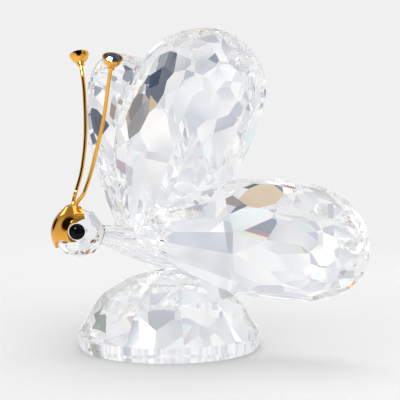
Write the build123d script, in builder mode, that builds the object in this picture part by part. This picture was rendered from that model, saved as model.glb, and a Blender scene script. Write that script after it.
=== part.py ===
"""A butterfly ornament of cut crystal on a faceted half-ball base.

The butterfly faces -X, its left side is -Y, and the base stands on z = 0 with its centre at the origin.
Lengths are millimetres, angles are degrees.
"""
from build123d import *
from math import acos, atan2, cos, radians, sin, sqrt, tan
import os

os.makedirs("parts", exist_ok=True)

# Base: a half ball cut in four rows of flat facets above a smooth band and a bevelled foot
base_radius = 14.9
foot_bevel_height = 1.1
foot_bevel_inset = 0.3
lower_row_height = 2.4
shield_row_height = 5.0
upper_row_height = 8.6
top_row_height = 11.2
base_height = 12.9
shield_count = 10
lower_row_pitch = 32
shield_row_pitch = 41
upper_row_pitch = 57
top_row_pitch = 70
base_turn = 25

# Body: a clear drop that narrows towards the head and lies across the top of the base
body_length = 20.0
body_radius = 2.75
body_slope = 16.5
body_front_x = -11.55
body_front_height = 19.1
body_profile_shares = ((0.0, 0.56), (0.22, 0.86), (0.45, 1.0), (0.66, 0.94), (0.85, 0.64), (1.0, 0.2))

# Head: a cut bead with a black cabochon on each side
head_radius = 4.0
head_x = -15.28
head_height = 19.55
head_facet_depth = 0.22
head_facet_count = 10
head_facet_tilts = (0, 36, 70)
eye_radius = 1.28
eye_rise = 0.85
eye_rim = 0.2
eye_forward_turn = 22
eye_lift = 10
eye_flat_depth = 0.34

# Face: a thin gilt shell over the front of the head, with a chin point and a point below each eye
mask_gap = 0.1
mask_wall = 0.45
mask_side_shares = (
    (0.24, 0.955), (0.57, 0.76), (0.69, 0.6), (0.725, 0.42), (0.735, 0.21), (0.765, -0.02), (0.82, -0.21),
)
mask_chin_shares = ((0.82, -0.21), (0.67, -0.185), (0.5, -0.16), (0.37, -0.2), (0.2, -0.32), (0.0, -0.5))
crest_tilt = 14
crest_reach = 5.35
crest_mouth_radius = 1.1
crest_back = 0.3
crest_back_turn = 21

# Antennae: gilt wires that end in small cups, each with a dark cut stone
wire_diameter = 0.6
wire_root_forward = 0.78
wire_root_spacing = 1.2
wire_root_rise = 4.2
wire_clearance = 0.02
tip_x = -12.25
tip_spacing = 15.8
tip_height = 46.05
wire_back_shares = (0.0, 0.07, 0.235, 0.537, 0.796, 0.945)
wire_spread_shares = (0.0, 0.064, 0.197, 0.241, 0.363, 0.599)
wire_rise_shares = (0.0, 0.044, 0.09, 0.233, 0.45, 0.655)
wire_bend_share = 0.45
wire_neck = 3.2
cup_lean = 28
cup_height = 2.0
cup_radius = 1.6
cup_bulge_radius = 1.22
cup_bulge_height = 0.95
cup_neck_radius = 0.5
cup_collar_radius = 0.62
cup_collar_height = 0.4
cup_rim = 0.22
cup_socket_depth = 0.6
stone_seat_height = 1.7
stone_gap = 0.02
stone_crown = 0.45
stone_girdle = 0.2
stone_pavilion = 0.85
stone_table_share = 0.56
stone_facet_count = 8

# Wings: four pear-shaped crystals cut alike on both faces, glued to the body by their ground tips
wing_length = 38.0
wing_width = 22.0
wing_thickness = 8.4
wing_flank_radius = 30.7

# Facets of a wing, alike on both faces; bearings are taken from the round end's centre, with the tip at 180
rim_bearings = (11.25, 33.75, 56.25, 78.75, 101.25)
rim_rise = 0.45
rim_pitch = 33
main_bearings = (22.5, 67.5)
main_rise = 0.4
main_pitch = 50
side_bearing = 112.5
side_rise = 0.38
side_pitch = 48.4
flank_bearing = 157.5
flank_rise = 0.6
flank_pitch = 63.4
wing_tip_bearing = 175
wing_tip_rise = 1.09
wing_tip_pitch = 75.7
star_bearings = (0, 45, 90)
star_inset = 2.3
star_stand = 0.5
star_pitch = 64
inner_inset = 3.7
inner_pitch = 79
inner_flank_inset = 4.65
inner_flank_pitch = 78
centre_inset = 5.5
centre_pitch = 83.5

# Left wings: where each tip is, which way the wing points and how far it is turned about its own axis
left_upper_tip_x = -4.74
left_upper_tip_side = 1.37
left_upper_tip_height = 17.05
left_upper_heading_angle = 57
left_upper_rise_angle = 66.2
left_upper_twist_angle = 54.1
left_lower_tip_x = -6.86
left_lower_tip_side = 3.5
left_lower_tip_height = 19.52
left_lower_heading_angle = 37.4
left_lower_rise_angle = -1.0
left_lower_twist_angle = 26.9

# Right wings: the upper one leans out further than on the left, and the lower one is swung out to clear it
right_upper_tip_x = -5.18
right_upper_tip_side = 1.42
right_upper_tip_height = 16.18
right_upper_heading_angle = 69.7
right_upper_rise_angle = 51.8
right_upper_twist_angle = 44.4
right_lower_tip_x = -6.65
right_lower_tip_side = 4.45
right_lower_tip_height = 18.7
right_lower_heading_angle = 49.2
right_lower_rise_angle = -4.0
right_lower_twist_angle = 31.1

# Ground flats: where the upper wings stand on the body, and where each lower wing meets its upper wing
body_seat_tilt = 38.5
body_seat_depth = 0.6
left_seat_heading_angle = -90
left_seat_rise_angle = 44
left_tip_grind = 0.4
right_seat_heading_angle = -75
right_seat_rise_angle = 50
right_tip_grind = 0.86


def direction(heading, rise):
    """A unit vector, heading measured from +X towards the left side, rise from the horizontal."""
    return Vector(cos(radians(rise)) * cos(radians(heading)), -cos(radians(rise)) * sin(radians(heading)),
                  sin(radians(rise)))


def cut_facet(point, normal):
    """Grind the part in hand flat at a point, leaving what lies behind the facet."""
    split(bisect_by=Plane(origin=point, z_dir=normal), keep=Keep.BOTTOM)


def save(part, name):
    """Label a finished piece and write it."""
    part.label = name
    export_step(part, f"parts/{name}.step")


def save_pair(part, name):
    """Write a left piece and its mirror image on the right."""
    save(part, f"{name}_left")
    save(mirror(part, about=Plane.XZ), f"{name}_right")


# The base
half_pitch = 180 / shield_count
lower_start = base_radius
shield_start = (lower_start - (shield_row_height - lower_row_height) * tan(radians(lower_row_pitch))) / cos(
    radians(half_pitch / 2))
upper_start = shield_start - (upper_row_height - shield_row_height) * tan(radians(shield_row_pitch))
top_start = upper_start - (top_row_height - upper_row_height) * tan(radians(upper_row_pitch))
base_rows = (
    (2 * shield_count, half_pitch / 2, lower_start, lower_row_height, lower_row_pitch),
    (shield_count, 0, shield_start, shield_row_height, shield_row_pitch),
    (shield_count, 0, upper_start, upper_row_height, upper_row_pitch),
    (shield_count, 0, top_start, top_row_height, top_row_pitch),
)
with BuildPart() as base_dome:
    with BuildSketch(Plane.XZ):
        with BuildLine():
            Polyline((0, 0), (base_radius - foot_bevel_inset, 0), (base_radius, foot_bevel_height),
                     (base_radius, base_height), (0, base_height), close=True)
        make_face()
    revolve(axis=Axis.Z)
    for count, offset, radius, height, pitch in base_rows:
        for step in range(count):
            turn = radians(base_turn + offset + step * 360 / count)
            outward = Vector(-cos(turn), -sin(turn), 0)
            cut_facet(outward * radius + Vector(0, 0, height),
                      outward * cos(radians(pitch)) + Vector(0, 0, sin(radians(pitch))))
save(base_dome.part, "base_dome")

# The body
body_axis = Vector(cos(radians(body_slope)), 0, -sin(radians(body_slope)))
body_plane = Plane(origin=(body_front_x, 0, body_front_height), x_dir=body_axis, z_dir=(0, -1, 0))
body_up = Vector(sin(radians(body_slope)), 0, cos(radians(body_slope)))
body_seat = body_up * cos(radians(body_seat_tilt)) + Vector(0, -sin(radians(body_seat_tilt)), 0)
body_seat_point = body_plane.origin + body_seat * (body_radius - body_seat_depth)
body_points = [(along * body_length, across * body_radius) for along, across in body_profile_shares]
with BuildPart() as body:
    with BuildSketch(body_plane):
        with BuildLine():
            Spline(*body_points)
            Polyline(body_points[-1], (body_length, 0), (0, 0), body_points[0])
        make_face()
    revolve(axis=Axis(body_plane.origin, body_axis))
    cut_facet((0, 0, base_height), (0, 0, -1))
    for side in (1, -1):
        cut_facet((body_seat_point.X, side * body_seat_point.Y, body_seat_point.Z),
                  (body_seat.X, side * body_seat.Y, body_seat.Z))
save(body.part, "body")

# The head bead
head_centre = Vector(head_x, 0, head_height)
head_flat = head_radius - head_facet_depth
eye_direction = direction(90 + eye_forward_turn, eye_lift)
with BuildPart() as head_bead:
    with Locations(head_centre):
        Sphere(head_radius)
    for tilt in head_facet_tilts:
        for step in range(head_facet_count):
            turn = (step + (0.5 if tilt == head_facet_tilts[1] else 0)) * 360 / head_facet_count
            for face in (1, -1):
                if tilt or face > 0:
                    normal = direction(turn, face * tilt)
                    cut_facet(head_centre + normal * head_flat, normal)
    cut_facet((body_front_x, 0, body_front_height), body_axis)
    for side in (1, -1):
        normal = Vector(eye_direction.X, side * eye_direction.Y, eye_direction.Z)
        cut_facet(head_centre + normal * (head_radius - eye_flat_depth), normal)
save(head_bead.part, "head_bead")

# The eyes
eye_dome = eye_rise - eye_rim
eye_curve_radius = (eye_radius**2 + eye_dome**2) / (2 * eye_dome)
eye_seat = head_centre + eye_direction * (head_radius - eye_flat_depth)
with BuildPart() as eye:
    with Locations(Plane(origin=eye_seat, z_dir=eye_direction)):
        Cylinder(eye_radius, eye_rise, align=(Align.CENTER, Align.CENTER, Align.MIN))
    with Locations(eye_seat + eye_direction * (eye_rise - eye_curve_radius)):
        Sphere(eye_curve_radius, mode=Mode.INTERSECT)
save_pair(eye.part, "eye")

# The face mask
mask_radius = head_radius + mask_gap + mask_wall
mask_plane = Plane(origin=head_centre, x_dir=(0, -1, 0), z_dir=(-1, 0, 0))
mask_side = [(across * mask_radius, up * mask_radius) for across, up in mask_side_shares]
mask_chin = [(across * mask_radius, up * mask_radius) for across, up in mask_chin_shares]
wire_root = head_centre + Vector(-wire_root_forward, -wire_root_spacing / 2, wire_root_rise)
wire_tip = Vector(tip_x, -tip_spacing / 2, tip_height)
wire_span = wire_tip - wire_root
cup_axis = direction(90, 90 - cup_lean)
wire_points = [
    wire_root + Vector(wire_span.X * back, wire_span.Y * spread, wire_span.Z * rise)
    for back, spread, rise in zip(wire_back_shares, wire_spread_shares, wire_rise_shares)
] + [wire_tip - cup_axis * wire_neck, wire_tip + cup_axis * cup_socket_depth]
root_direction = (wire_points[1] - wire_points[0]).normalized()
crest_axis = direction(180, 90 - crest_tilt)
crest_foot = mask_radius**2 / crest_reach
crest_foot_radius = mask_radius * sqrt(1 - (mask_radius / crest_reach)**2)
crest_height = (crest_reach - crest_foot) * (1 - crest_mouth_radius / crest_foot_radius)
with BuildPart() as crest:
    with Locations(Plane(origin=head_centre + crest_axis * crest_foot, z_dir=crest_axis)):
        Cone(crest_foot_radius, crest_mouth_radius, crest_height,
             align=(Align.CENTER, Align.CENTER, Align.MIN))
    for turn in (crest_back_turn, -crest_back_turn):
        cut_facet((head_x - crest_back, 0, 0), direction(turn, 0))
with BuildPart() as face_mask:
    with BuildSketch(mask_plane):
        with BuildLine():
            Spline(*mask_side)
            Spline(*mask_chin)
            Spline(*[(-across, up) for across, up in mask_chin])
            Spline(*[(-across, up) for across, up in mask_side])
            Line(mask_side[0], (-mask_side[0][0], mask_side[0][1]))
        make_face()
    extrude(amount=mask_radius)
    with Locations(head_centre):
        Sphere(mask_radius, mode=Mode.INTERSECT)
    add(crest.part)
    with Locations(head_centre):
        Sphere(head_radius + mask_gap, mode=Mode.SUBTRACT)
    for side in (1, -1):
        eye_line = (eye_direction.X, side * eye_direction.Y, eye_direction.Z)
        with Locations(Plane(origin=head_centre, z_dir=eye_line)):
            Cylinder(eye_radius + mask_gap, 2 * mask_radius, mode=Mode.SUBTRACT,
                     align=(Align.CENTER, Align.CENTER, Align.MIN))
        with Locations(Plane(origin=(wire_root.X, side * wire_root.Y, wire_root.Z),
                             z_dir=(root_direction.X, side * root_direction.Y, root_direction.Z))):
            Cylinder(wire_diameter / 2 + wire_clearance, crest_reach, mode=Mode.SUBTRACT,
                     align=(Align.CENTER, Align.CENTER, Align.MIN))
save(face_mask.part, "face_mask")

# The antenna wires
wire_radii = []
for before, bend, after in zip(wire_points, wire_points[1:], wire_points[2:]):
    half_turn = radians((bend - before).get_angle(after - bend)) / 2
    shorter_run = min((bend - before).length, (after - bend).length)
    wire_radii.append(wire_bend_share * shorter_run / tan(half_turn))
with BuildPart() as antenna_wire:
    with BuildLine() as wire_path:
        FilletPolyline(*wire_points, radius=wire_radii)
    with BuildSketch(Plane(origin=wire_root, z_dir=root_direction)):
        Circle(wire_diameter / 2)
    sweep(path=wire_path.line)
save_pair(antenna_wire.part, "antenna_wire")

# The cups at the wire tips, drawn along the cup's own axis
cup_plane = Plane(origin=wire_tip, x_dir=(1, 0, 0), z_dir=cup_axis)
cup_profile_plane = Plane(origin=wire_tip, x_dir=cup_plane.x_dir, z_dir=-cup_plane.y_dir)
socket_radius = wire_diameter / 2 + wire_clearance
bore_radius = cup_radius - cup_rim
with BuildPart() as tip_cup:
    with BuildSketch(cup_profile_plane):
        with BuildLine():
            Polyline((cup_neck_radius, cup_collar_height), (cup_collar_radius, cup_collar_height),
                     (cup_collar_radius, 0), (socket_radius, 0), (socket_radius, cup_socket_depth),
                     (0, cup_socket_depth), (0, stone_seat_height - stone_pavilion),
                     (bore_radius, stone_seat_height), (bore_radius, cup_height), (cup_radius, cup_height))
            ThreePointArc((cup_radius, cup_height), (cup_bulge_radius, cup_bulge_height),
                          (cup_neck_radius, cup_collar_height))
        make_face()
    revolve(axis=Axis(wire_tip, cup_axis))
save_pair(tip_cup.part, "tip_cup")

# The stones in the cups
stone_radius = bore_radius - stone_gap
girdle_height = stone_seat_height + stone_gap
facet_radius = stone_radius * cos(radians(180 / stone_facet_count))
table_radius = stone_radius * stone_table_share
with BuildPart() as tip_stone:
    with BuildSketch(cup_plane.offset(girdle_height - stone_pavilion)):
        Circle(stone_radius)
    extrude(amount=stone_pavilion + stone_girdle + stone_crown)
    for step in range(stone_facet_count):
        turn = step * 360 / stone_facet_count
        outward = cup_plane.x_dir * cos(radians(turn)) + cup_plane.y_dir * sin(radians(turn))
        rim = wire_tip + outward * facet_radius + cup_axis * girdle_height
        cut_facet(rim, outward * stone_pavilion - cup_axis * facet_radius)
        cut_facet(rim + cup_axis * stone_girdle,
                  outward * stone_crown + cup_axis * (facet_radius - table_radius))
save_pair(tip_stone.part, "tip_stone")

# The wing crystal, lying flat with its tip at the origin and its axis along X
cap_radius = wing_width / 2
cap_centre = wing_length - cap_radius
flank_offset = wing_flank_radius - cap_radius
cap_turn = acos((cap_centre**2 - 2 * flank_offset * cap_radius - cap_radius**2)
                / (2 * cap_centre * flank_offset))
flank_centre = Vector(cap_centre - flank_offset * cos(cap_turn), -flank_offset * sin(cap_turn), 0)
tip_turn = atan2(-flank_centre.Y, -flank_centre.X)


def wing_rim(bearing):
    """Where a ray from the round end's centre meets the outline, and the outward direction there."""
    turn = radians(bearing)
    ray = Vector(cos(turn), sin(turn), 0)
    cap_point = Vector(cap_centre, 0, 0)
    if turn <= cap_turn:
        return cap_point + ray * cap_radius, ray
    start = cap_point - flank_centre
    along = start.dot(ray)
    point = cap_point + ray * (sqrt(along**2 - start.dot(start) + wing_flank_radius**2) - along)
    return point, (point - flank_centre) / wing_flank_radius


star_rise = main_rise + (star_inset + star_stand) / tan(radians(main_pitch))
inner_rise = main_rise + inner_inset / tan(radians(main_pitch))
inner_flank_rise = flank_rise + inner_flank_inset / tan(radians(flank_pitch))
centre_rise = inner_rise + (centre_inset - inner_inset) / tan(radians(inner_pitch))
wing_rows = (
    (rim_bearings, 0, rim_rise, rim_pitch),
    (main_bearings, 0, main_rise, main_pitch),
    ((side_bearing,), 0, side_rise, side_pitch),
    ((flank_bearing,), 0, flank_rise, flank_pitch),
    ((wing_tip_bearing,), 0, wing_tip_rise, wing_tip_pitch),
    (star_bearings, star_inset, star_rise, star_pitch),
    (main_bearings + (side_bearing,), inner_inset, inner_rise, inner_pitch),
    ((flank_bearing,), inner_flank_inset, inner_flank_rise, inner_flank_pitch),
    (star_bearings, centre_inset, centre_rise, centre_pitch),
)
with BuildPart() as crystal:
    with BuildSketch():
        with BuildLine():
            flank_middle = flank_centre + Vector(
                cos((tip_turn + cap_turn) / 2), sin((tip_turn + cap_turn) / 2), 0) * wing_flank_radius
            flank_end = Vector(cap_centre, 0, 0) + Vector(cos(cap_turn), sin(cap_turn), 0) * cap_radius
            ThreePointArc((0, 0), flank_middle, flank_end)
            ThreePointArc(flank_end, (wing_length, 0), (flank_end.X, -flank_end.Y))
            ThreePointArc((flank_end.X, -flank_end.Y), (flank_middle.X, -flank_middle.Y), (0, 0))
        make_face()
    extrude(amount=wing_thickness / 2, both=True)
    for bearings, inset, rise, pitch in wing_rows:
        for bearing in bearings:
            edge, outward = wing_rim(bearing)
            for side in (1, -1) if bearing else (1,):
                across = Vector(outward.X, side * outward.Y, 0)
                foot = Vector(edge.X, side * edge.Y, 0) - across * inset
                for face in (1, -1):
                    cut_facet(foot + Vector(0, 0, face * rise),
                              across * cos(radians(pitch)) + Vector(0, 0, face * sin(radians(pitch))))


def wing_plane(root, heading, rise, twist):
    """The frame of a wing placed as on the left: X along its axis from the tip, Z out of its inner face."""
    along = direction(heading, rise)
    level = Vector(0, 0, 1).cross(along).normalized()
    inner = level * cos(radians(twist)) + along.cross(level) * sin(radians(twist))
    return Plane(origin=root, x_dir=along, z_dir=inner)


def save_wings(side, upper_plane, lower_plane, seat, tip_grind):
    """Grind a side's two wings, placed as on the left, where they meet and on the body, and write them."""
    seat_point = lower_plane.origin + lower_plane.x_dir * tip_grind
    with BuildPart() as wing_upper:
        add(crystal.part.moved(upper_plane.location))
        cut_facet(body_seat_point, -body_seat)
        cut_facet(seat_point, -seat)
    with BuildPart() as wing_lower:
        add(crystal.part.moved(lower_plane.location))
        cut_facet(seat_point, seat)
    for wing, name in ((wing_upper.part, "wing_upper"), (wing_lower.part, "wing_lower")):
        save(mirror(wing, about=Plane.XZ) if side == "right" else wing, f"{name}_{side}")


save_wings(
    "left",
    wing_plane((left_upper_tip_x, -left_upper_tip_side, left_upper_tip_height),
               left_upper_heading_angle, left_upper_rise_angle, left_upper_twist_angle),
    wing_plane((left_lower_tip_x, -left_lower_tip_side, left_lower_tip_height),
               left_lower_heading_angle, left_lower_rise_angle, left_lower_twist_angle),
    direction(left_seat_heading_angle, left_seat_rise_angle),
    left_tip_grind,
)
save_wings(
    "right",
    wing_plane((right_upper_tip_x, -right_upper_tip_side, right_upper_tip_height),
               right_upper_heading_angle, right_upper_rise_angle, right_upper_twist_angle),
    wing_plane((right_lower_tip_x, -right_lower_tip_side, right_lower_tip_height),
               right_lower_heading_angle, right_lower_rise_angle, right_lower_twist_angle),
    direction(right_seat_heading_angle, right_seat_rise_angle),
    right_tip_grind,
)
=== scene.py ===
"""The looks of the crystal butterfly ornament: its crystal, its gilding and its dark stones, and the pale
table that it stands on.

The model is in metres. The butterfly faces -X, its left side is -Y, and it stands on z = 0.
"""

from math import cos, radians, sin

import bpy
import numpy as np
from mathutils import Matrix, Vector

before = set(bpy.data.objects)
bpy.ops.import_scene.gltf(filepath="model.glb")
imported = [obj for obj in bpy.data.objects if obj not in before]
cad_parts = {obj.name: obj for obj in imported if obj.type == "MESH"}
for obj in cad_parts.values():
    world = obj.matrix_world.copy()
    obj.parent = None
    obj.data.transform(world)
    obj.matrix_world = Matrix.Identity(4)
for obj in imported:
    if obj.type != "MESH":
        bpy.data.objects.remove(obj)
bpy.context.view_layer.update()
scene = bpy.context.scene
scene.view_settings.view_transform = "Standard"

# Light turns about many times inside cut crystal before it leaves
LIGHT_BOUNCES = 48
scene.cycles.max_bounces = LIGHT_BOUNCES
scene.cycles.transmission_bounces = LIGHT_BOUNCES
scene.cycles.glossy_bounces = LIGHT_BOUNCES


# Camera: forward of square-on to the left side, a little above the level
CAMERA_PLACE = Vector((-0.0953, -0.26288, 0.05648))
CAMERA_TURN = radians(-20.98)
CAMERA_RISE = radians(6.6)
CAMERA_ROLL = radians(-0.18)
CAMERA_LENS = 155.15
CAMERA_SENSOR = 36
NEAREST_SEEN = 0.01
FARTHEST_SEEN = 50


def add_camera():
    """The camera at its place, turned about the upright, raised over the level and rolled about its axis."""
    camera = bpy.data.objects.new("camera", bpy.data.cameras.new("camera"))
    scene.collection.objects.link(camera)
    level = cos(CAMERA_RISE)
    backward = Vector((sin(CAMERA_TURN) * level, -cos(CAMERA_TURN) * level, sin(CAMERA_RISE)))
    rightward = Vector((cos(CAMERA_TURN), sin(CAMERA_TURN), 0))
    upward = backward.cross(rightward)
    axes = Matrix((rightward, upward, backward)).transposed() @ Matrix.Rotation(CAMERA_ROLL, 3, "Z")
    camera.matrix_world = Matrix.Translation(CAMERA_PLACE) @ axes.to_4x4()
    camera.data.sensor_width = CAMERA_SENSOR
    camera.data.lens = CAMERA_LENS
    camera.data.clip_start = NEAREST_SEEN
    camera.data.clip_end = FARTHEST_SEEN
    scene.camera = camera


add_camera()


# Node helpers
def grey(value):
    """An even grey as a colour."""
    return (value, value, value, 1)


def feed(tree, value, socket):
    """Give a socket its value, which is another node's socket or a plain number, vector or colour."""
    if isinstance(value, bpy.types.NodeSocket):
        tree.links.new(value, socket)
    else:
        socket.default_value = value


def noise(tree, scale, detail=2, coordinates="Object"):
    """Noise over a piece's own coordinates or over directions, with the scale in waves per unit."""
    place = tree.nodes.new("ShaderNodeTexCoord")
    node = tree.nodes.new("ShaderNodeTexNoise")
    node.inputs["Scale"].default_value = scale
    node.inputs["Detail"].default_value = detail
    tree.links.new(place.outputs[coordinates], node.inputs["Vector"])
    return node.outputs["Fac"]


def toned(tree, value, stops, interpolation="LINEAR"):
    """The colour that a ramp with the given (position, colour) stops gives to a value."""
    node = tree.nodes.new("ShaderNodeValToRGB")
    node.color_ramp.interpolation = interpolation
    elements = node.color_ramp.elements
    elements[0].position, elements[0].color = stops[0]
    elements[1].position, elements[1].color = stops[-1]
    for position, color in stops[1:-1]:
        elements.new(position).color = color
    tree.links.new(value, node.inputs["Fac"])
    return node.outputs["Color"]


def graded(tree, value, start, end, low=0, high=1):
    """A value that goes from low to high as the given one goes from start to end, and holds beyond them."""
    node = tree.nodes.new("ShaderNodeMapRange")
    node.inputs["From Min"].default_value = start
    node.inputs["From Max"].default_value = end
    node.inputs["To Min"].default_value = low
    node.inputs["To Max"].default_value = high
    tree.links.new(value, node.inputs["Value"])
    return node.outputs["Result"]


def vector_math(tree, operation, *values):
    """The result of an operation on vectors, which are sockets or plain ones."""
    node = tree.nodes.new("ShaderNodeVectorMath")
    node.operation = operation
    for value, socket in zip(values, node.inputs):
        feed(tree, value, socket)
    return node.outputs["Value" if operation in ("LENGTH", "DOT_PRODUCT") else "Vector"]


# Where the Mix node keeps its factor, its two colours and the colour that comes out
COVER_INPUT = 0
BELOW_INPUT = 6
ABOVE_INPUT = 7
COLOR_OUTPUT = 2


def blend(tree, cover, below, above):
    """One colour laid over another; the cover and both colours are sockets or plain values."""
    node = tree.nodes.new("ShaderNodeMix")
    node.data_type = "RGBA"
    feed(tree, cover, node.inputs[COVER_INPUT])
    feed(tree, below, node.inputs[BELOW_INPUT])
    feed(tree, above, node.inputs[ABOVE_INPUT])
    return node.outputs[COLOR_OUTPUT]


def glow(tree, kind, color):
    """An Emission or Background shader at a strength of 1."""
    node = tree.nodes.new(kind)
    feed(tree, color, node.inputs["Color"])
    return node


def mixed(tree, share, first, second):
    """Two shaders mixed; the share of the second is a socket or a plain number."""
    node = tree.nodes.new("ShaderNodeMixShader")
    feed(tree, share, node.inputs["Fac"])
    tree.links.new(first.outputs[0], node.inputs[1])
    tree.links.new(second.outputs[0], node.inputs[2])
    return node


def put_out(tree, shader, kind="ShaderNodeOutputMaterial"):
    """Lead a shader to the tree's output."""
    output = tree.nodes.new(kind)
    tree.links.new(shader.outputs[0], output.inputs["Surface"])


def new_finish(name):
    """A new material with an empty node tree; gives the material and its tree."""
    material = bpy.data.materials.new(name)
    material.use_nodes = True
    material.node_tree.nodes.clear()
    return material, material.node_tree


# Crystal of the base, the body, the bead and the wings
CRYSTAL_INDEX = 1.56
CRYSTAL_CLOUD_SCALE = 90
CRYSTAL_TONES = [(0.3, (0.985, 0.99, 1, 1)), (0.7, grey(1))]
CRYSTAL_HAZE_SCALE = 700
CRYSTAL_HAZE = [(0.35, grey(0)), (0.8, grey(0.02))]


def clear_crystal():
    """Polished lead crystal: clear, with hardly visible polishing haze and the faintest cloud of tone."""
    material, tree = new_finish("clear_crystal")
    shader = tree.nodes.new("ShaderNodeBsdfPrincipled")
    shader.inputs["Transmission Weight"].default_value = 1
    shader.inputs["IOR"].default_value = CRYSTAL_INDEX
    tone = toned(tree, noise(tree, CRYSTAL_CLOUD_SCALE), CRYSTAL_TONES)
    tree.links.new(tone, shader.inputs["Base Color"])
    haze = toned(tree, noise(tree, CRYSTAL_HAZE_SCALE), CRYSTAL_HAZE)
    tree.links.new(haze, shader.inputs["Roughness"])
    put_out(tree, shader)
    return material


# Gilding of the mask, the wires and the cups
GILT_CLOUD_SCALE = 260
GILT_TONES = [(0.3, (0.80, 0.39, 0.055, 1)), (0.7, (0.88, 0.45, 0.085, 1))]
GILT_MARK_SCALE = 2500
GILT_MARK_DETAIL = 4
GILT_POLISH = [(0.3, grey(0.03)), (0.8, grey(0.1))]
GILT_WAVE_STRENGTH = 0.05
GILT_WAVE_HEIGHT = 0.00002


def polished_gilding():
    """Polished gold plate: warm yellow, redder in patches, with fine rubbing marks and slight waves."""
    material, tree = new_finish("polished_gilding")
    shader = tree.nodes.new("ShaderNodeBsdfPrincipled")
    shader.inputs["Metallic"].default_value = 1
    cloud = noise(tree, GILT_CLOUD_SCALE)
    tree.links.new(toned(tree, cloud, GILT_TONES), shader.inputs["Base Color"])
    marks = toned(tree, noise(tree, GILT_MARK_SCALE, GILT_MARK_DETAIL), GILT_POLISH)
    tree.links.new(marks, shader.inputs["Roughness"])
    waves = tree.nodes.new("ShaderNodeBump")
    waves.inputs["Strength"].default_value = GILT_WAVE_STRENGTH
    waves.inputs["Distance"].default_value = GILT_WAVE_HEIGHT
    tree.links.new(cloud, waves.inputs["Height"])
    tree.links.new(waves.outputs["Normal"], shader.inputs["Normal"])
    put_out(tree, shader)
    return material


# Dark stones of the eyes and the antenna tips
STONE_CLOUD_SCALE = 500
JET_TONES = [(0.35, (0.002, 0.002, 0.003, 1)), (0.7, (0.006, 0.006, 0.008, 1))]
JET_POLISH = [(0.3, grey(0.03)), (0.8, grey(0.06))]
JET_GLOSS = 0.1
FOILED_TONES = [(0.35, (0.004, 0.008, 0.03, 1)), (0.7, (0.02, 0.04, 0.1, 1))]
FOILED_POLISH = [(0.3, grey(0.02)), (0.8, grey(0.04))]
FOILED_GLOSS = 1


def dark_stone(name, tones, polish, gloss):
    """A dark polished stone whose tone and polish shift a little together."""
    material, tree = new_finish(name)
    shader = tree.nodes.new("ShaderNodeBsdfPrincipled")
    shader.inputs["Specular IOR Level"].default_value = gloss
    cloud = noise(tree, STONE_CLOUD_SCALE)
    tree.links.new(toned(tree, cloud, tones), shader.inputs["Base Color"])
    tree.links.new(toned(tree, cloud, polish), shader.inputs["Roughness"])
    put_out(tree, shader)
    return material


# Which pieces have which finish
CRYSTAL_PIECES = ("base_dome", "body", "head_bead", "wing_upper_left", "wing_upper_right", "wing_lower_left",
                  "wing_lower_right")
GILT_PIECES = ("face_mask", "antenna_wire_left", "antenna_wire_right", "tip_cup_left", "tip_cup_right")
JET_PIECES = ("eye_left", "eye_right")
FOILED_PIECES = ("tip_stone_left", "tip_stone_right")


def dress(pieces, finish):
    """Give the CAD nodes of these pieces their finish."""
    for name in pieces:
        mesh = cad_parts[name].data
        mesh.materials.clear()
        mesh.materials.append(finish)


dress(CRYSTAL_PIECES, clear_crystal())
dress(GILT_PIECES, polished_gilding())
dress(JET_PIECES, dark_stone("jet_cabochon", JET_TONES, JET_POLISH, JET_GLOSS))
dress(FOILED_PIECES, dark_stone("foiled_dark_crystal", FOILED_TONES, FOILED_POLISH, FOILED_GLOSS))


# Table: a wide pale disc whose far part meets the backdrop's tone
BACKDROP = (0.875, 0.875, 0.88, 1)
TABLE_RADIUS = 3.0
TABLE_DROP = 0.00002
TABLE_RINGS = 24
TABLE_SPOKES = 64
PAPER_ROUGHNESS = 0.6
PAPER_CLOUD_SCALE = 14
PAPER_TONES = [(0.3, grey(0.8)), (0.7, grey(0.86))]
# Distances from the ornament's middle between which the camera sees the paper turn into the backdrop's tone
FADE_START = 0.03
FADE_END = 0.16
# Distances between which the table gives way to open air for all other rays
PATCH_START = 0.024
PATCH_END = 0.03
# Share of the patch's tone that is painted light: a glow for the light that the crystal lets through to it
PATCH_PAINTED_LIGHT = 0.6


def table_disc():
    """A flat round table: points at radius r and turn t, where r grows as the square of the ring's share."""
    shares = np.linspace(0, 1, TABLE_RINGS)
    turns = np.linspace(0, 2 * np.pi, TABLE_SPOKES, endpoint=False)
    share, t = np.meshgrid(shares, turns, indexing="ij")
    r = TABLE_RADIUS * share**2
    points = np.stack([r * np.cos(t), r * np.sin(t), np.full_like(r, -TABLE_DROP)], -1).reshape(-1, 3)
    ring, spoke = np.meshgrid(np.arange(TABLE_RINGS - 1), np.arange(TABLE_SPOKES), indexing="ij")
    here = ring * TABLE_SPOKES + spoke
    beside = ring * TABLE_SPOKES + (spoke + 1) % TABLE_SPOKES
    faces = np.stack([here, here + TABLE_SPOKES, beside + TABLE_SPOKES, beside], -1).reshape(-1, 4)
    mesh = bpy.data.meshes.new("table")
    mesh.from_pydata(points.tolist(), [], faces.tolist())
    mesh.validate()
    disc = bpy.data.objects.new("table", mesh)
    scene.collection.objects.link(disc)
    return disc


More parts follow.
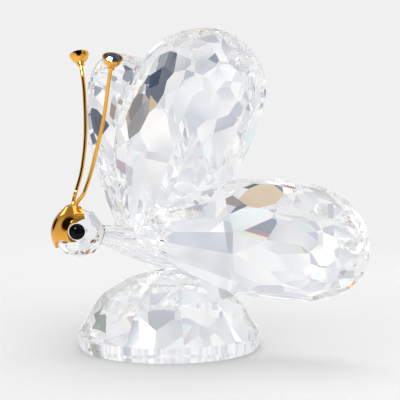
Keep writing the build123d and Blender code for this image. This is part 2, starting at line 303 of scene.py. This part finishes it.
def pale_table():
    """Matt paper that the camera sees fade into the backdrop's tone. Other rays find only the patch under
    the ornament, part of whose tone is painted light, a glow for the light that the crystal lets through to
    it."""
    material, tree = new_finish("pale_table")
    paper = tree.nodes.new("ShaderNodeBsdfPrincipled")
    paper.inputs["Roughness"].default_value = PAPER_ROUGHNESS
    tone = toned(tree, noise(tree, PAPER_CLOUD_SCALE), PAPER_TONES)
    tree.links.new(tone, paper.inputs["Base Color"])
    far = glow(tree, "ShaderNodeEmission", BACKDROP)
    open_air = tree.nodes.new("ShaderNodeBsdfTransparent")
    place = tree.nodes.new("ShaderNodeTexCoord")
    distance = vector_math(tree, "LENGTH", place.outputs["Object"])
    seen_table = mixed(tree, graded(tree, distance, FADE_START, FADE_END), paper, far)
    # Painted light: the patch under the ornament is partly a glow for the light that comes through the
    # crystal
    painted_light_under_glass = mixed(tree, PATCH_PAINTED_LIGHT, paper, far)
    other_table = mixed(tree, graded(tree, distance, PATCH_START, PATCH_END), painted_light_under_glass, open_air)
    path = tree.nodes.new("ShaderNodeLightPath")
    put_out(tree, mixed(tree, path.outputs["Is Camera Ray"], other_table, seen_table))
    return material


table = table_disc()
table.data.materials.append(pale_table())


# Patchwork of pale boards that the crystal bends
BOARD_SCALE = 17
BOARD_SHIFT = Vector((14, 7, 4))
BOARD_TONES = [(0, grey(1)), (0.3, (0.9, 0.9, 0.91, 1)), (0.55, (0.77, 0.79, 0.82, 1)),
               (0.78, (0.6, 0.63, 0.69, 1)), (0.94, (0.3, 0.34, 0.41, 1))]
# Each board dims from its middle to this distance from it
BOARD_GLOW = 1.06
BOARD_DIM = 0.82
BOARD_DIM_DISTANCE = 0.8
# How far red and blue look up the boards to each side of green, and how much of that shows
FRINGE_SHIFT = Vector((0.003, -0.003, 0.003))
FRINGE_SHARE = 0.35
# Each card: heading, rise and reach in degrees, its colour, and how much it covers of what is behind it
BOARD_CARDS = {
    "calm_wall": (85, 22, 36, (0.88, 0.89, 0.9), 0.45),
    "grey_wall": (-169, 20, 34, (0.45, 0.42, 0.38), 0.5),
    "dark_room": (-111, 22, 26, (0.1, 0.11, 0.14), 0.7),
    "brown_door": (-44, 5, 14, (0.35, 0.24, 0.16), 0.8),
    "grey_screen": (113, -17, 10, (0.55, 0.57, 0.62), 0.8),
    "navy_curtain": (43, -20, 10, (0.03, 0.05, 0.1), 0.95),
    "gilt_tray": (42, -9, 3, (0.62, 0.46, 0.27), 0.8),
    "brown_box": (23, -22, 6, (0.22, 0.18, 0.16), 0.95),
    "navy_doorway": (33, 0, 5, (0.05, 0.07, 0.13), 0.95),
    "brown_shelf": (20, 6, 5.5, (0.3, 0.2, 0.15), 0.95),
    "green_shade": (24, 14, 5, (0.3, 0.34, 0.3), 0.9),
    "lamp_card": (115, 40, 6, (1.6, 1.6, 1.6), 1),
}
BOARD_CARD_SOFTNESS = 0.02
# The boards hang in soft folds, which shade them finely
FOLD_SCALE = 34
FOLD_DETAIL = 1
FOLD_TONES = [(0.34, (0.86, 0.88, 0.91, 1)), (0.5, grey(1.03)), (0.66, (1.16, 1.14, 1.12, 1))]


# Pale room with dark gaps that gilding and polish reflect, its cards written as above
ROOM_TONE = grey(0.8)
ROOM_CARDS = {
    "ceiling": (0, 90, 44, (0.36, 0.33, 0.3), 0.95),
    "white_table": (0, -90, 82, (1.05, 1.05, 1.05), 0.95),
    "side_wall": (100, 30, 36, (0.42, 0.38, 0.33), 0.9),
    "dark_gap": (-111, 24, 38, (0.004, 0.004, 0.006), 1),
    "open_door": (-168, 38, 27, (0.01, 0.009, 0.008), 1),
    "black_strip": (118, 10, 11, (0.01, 0.009, 0.008), 1),
    "brown_door": (-44, 8, 20, (0.12, 0.09, 0.07), 0.9),
    "soft_box": (112, 36, 8, (3, 3, 3), 1),
    "small_lamp": (-145, 48, 7, (45, 45, 45), 1),
}
ROOM_CARD_SOFTNESS = 0.2


# Ray depths between which bent and reflected views give way to a calm tone
BENT_DEPTHS = (4, 14)
REFLECTED_DEPTHS = (2, 3)
CALM_TONE = grey(0.88)
CALM_SHARE = 0.85

# Even light on matt things
PLAIN_LIGHT = grey(1.03)


def toward(heading, rise):
    """The direction at a heading from +X towards +Y and a rise above the level, in degrees."""
    heading, rise = radians(heading), radians(rise)
    return Vector((cos(rise) * cos(heading), cos(rise) * sin(heading), sin(rise)))


def lay_cards(tree, color, looking, cards, softness):
    """Round cards over a colour, each of which covers the directions within its reach up to its soft edge."""
    for heading, rise, reach, card_color, cover in cards.values():
        nearness = vector_math(tree, "DOT_PRODUCT", looking, toward(heading, rise))
        outer = cos(radians(reach * (1 + softness)))
        inner = cos(radians(reach * (1 - softness)))
        color = blend(tree, graded(tree, nearness, outer, inner, 0, cover), color, (*card_color, 1))
    return color


def calmed(tree, color, path, depths):
    """The colour, which gives way to the calm tone as the ray's depth goes from the first to the second."""
    start, end = depths
    cover = graded(tree, path.outputs["Ray Depth"], start, end, 0, CALM_SHARE)
    return blend(tree, cover, color, CALM_TONE)


def boards(tree, shift):
    """The patchwork's cells, looked up with a small shift: the direction of each cell and its tone."""
    looking = tree.nodes.new("ShaderNodeTexCoord").outputs["Generated"]
    cells = tree.nodes.new("ShaderNodeTexVoronoi")
    cells.inputs["Scale"].default_value = BOARD_SCALE
    tree.links.new(vector_math(tree, "ADD", looking, shift), cells.inputs["Vector"])
    middle = vector_math(tree, "SUBTRACT", cells.outputs["Position"], shift)
    direction = vector_math(tree, "NORMALIZE", middle)
    chance = tree.nodes.new("ShaderNodeSeparateColor")
    tree.links.new(cells.outputs["Color"], chance.inputs["Color"])
    tone = toned(tree, chance.outputs["Blue"], BOARD_TONES, "CONSTANT")
    shade = graded(tree, cells.outputs["Distance"], 0, BOARD_DIM_DISTANCE, BOARD_GLOW, BOARD_DIM)
    return direction, vector_math(tree, "MULTIPLY", tone, shade)


def fringed_boards(tree):
    """The direction of each board and its tone, with the crystal's colour fringes at the boards' edges,
    because red and blue look them up a little to each side of green."""
    views = {channel: boards(tree, BOARD_SHIFT + side * FRINGE_SHIFT)
             for channel, side in (("Red", -1), ("Green", 0), ("Blue", 1))}
    fringed = tree.nodes.new("ShaderNodeCombineColor")
    for channel, (_, tone) in views.items():
        single = tree.nodes.new("ShaderNodeSeparateColor")
        tree.links.new(tone, single.inputs["Color"])
        tree.links.new(single.outputs[channel], fringed.inputs[channel])
    direction, tone = views["Green"]
    return direction, blend(tree, FRINGE_SHARE, tone, fringed.outputs["Color"])


def bent_studio(tree, path):
    """What the crystal bends: the boards with their cards, calmer for deep rays, and the folds over all."""
    direction, tone = fringed_boards(tree)
    covered = lay_cards(tree, tone, direction, BOARD_CARDS, BOARD_CARD_SOFTNESS)
    folds = toned(tree, noise(tree, FOLD_SCALE, FOLD_DETAIL, "Generated"), FOLD_TONES)
    return vector_math(tree, "MULTIPLY", calmed(tree, covered, path, BENT_DEPTHS), folds)


def reflected_room(tree, path):
    """What gilding and polish reflect: the room with its cards, calmer for rays with more than one turn."""
    looking = tree.nodes.new("ShaderNodeTexCoord").outputs["Generated"]
    covered = lay_cards(tree, ROOM_TONE, looking, ROOM_CARDS, ROOM_CARD_SOFTNESS)
    return calmed(tree, covered, path, REFLECTED_DEPTHS)


def studio():
    """Surroundings that depend on how a ray comes to them: the camera sees the backdrop's tone, matt things
    get plain light, crystal bends the boards, and gilding and polish reflect the room."""
    world = bpy.data.worlds.new("studio")
    world.use_nodes = True
    tree = world.node_tree
    tree.nodes.clear()
    path = tree.nodes.new("ShaderNodeLightPath")
    is_bent = path.outputs["Is Transmission Ray"]
    color = blend(tree, is_bent, reflected_room(tree, path), bent_studio(tree, path))
    around = glow(tree, "ShaderNodeBackground", color)
    plain = glow(tree, "ShaderNodeBackground", PLAIN_LIGHT)
    seen = glow(tree, "ShaderNodeBackground", BACKDROP)
    sharp = tree.nodes.new("ShaderNodeMath")
    sharp.operation = "MAXIMUM"
    tree.links.new(path.outputs["Is Glossy Ray"], sharp.inputs[0])
    tree.links.new(is_bent, sharp.inputs[1])
    unseen = mixed(tree, sharp.outputs["Value"], plain, around)
    put_out(tree, mixed(tree, path.outputs["Is Camera Ray"], unseen, seen), "ShaderNodeOutputWorld")
    return world


scene.world = studio()


# Lamp high above the ornament and a little behind it
LAMP_PLACE = Vector((0.1, 0.15, 0.8))
LAMP_TARGET = Vector((0, 0, 0.02))
LAMP_SIZE = 0.5
LAMP_POWER = 1.1


def add_overhead_lamp():
    """A square soft box at its place, turned to the ornament."""
    lamp = bpy.data.objects.new("overhead_lamp", bpy.data.lights.new("overhead_lamp", "AREA"))
    lamp.data.size = LAMP_SIZE
    lamp.data.energy = LAMP_POWER
    lamp.location = LAMP_PLACE
    lamp.rotation_euler = (LAMP_TARGET - LAMP_PLACE).to_track_quat("-Z", "Y").to_euler()
    scene.collection.objects.link(lamp)


add_overhead_lamp()
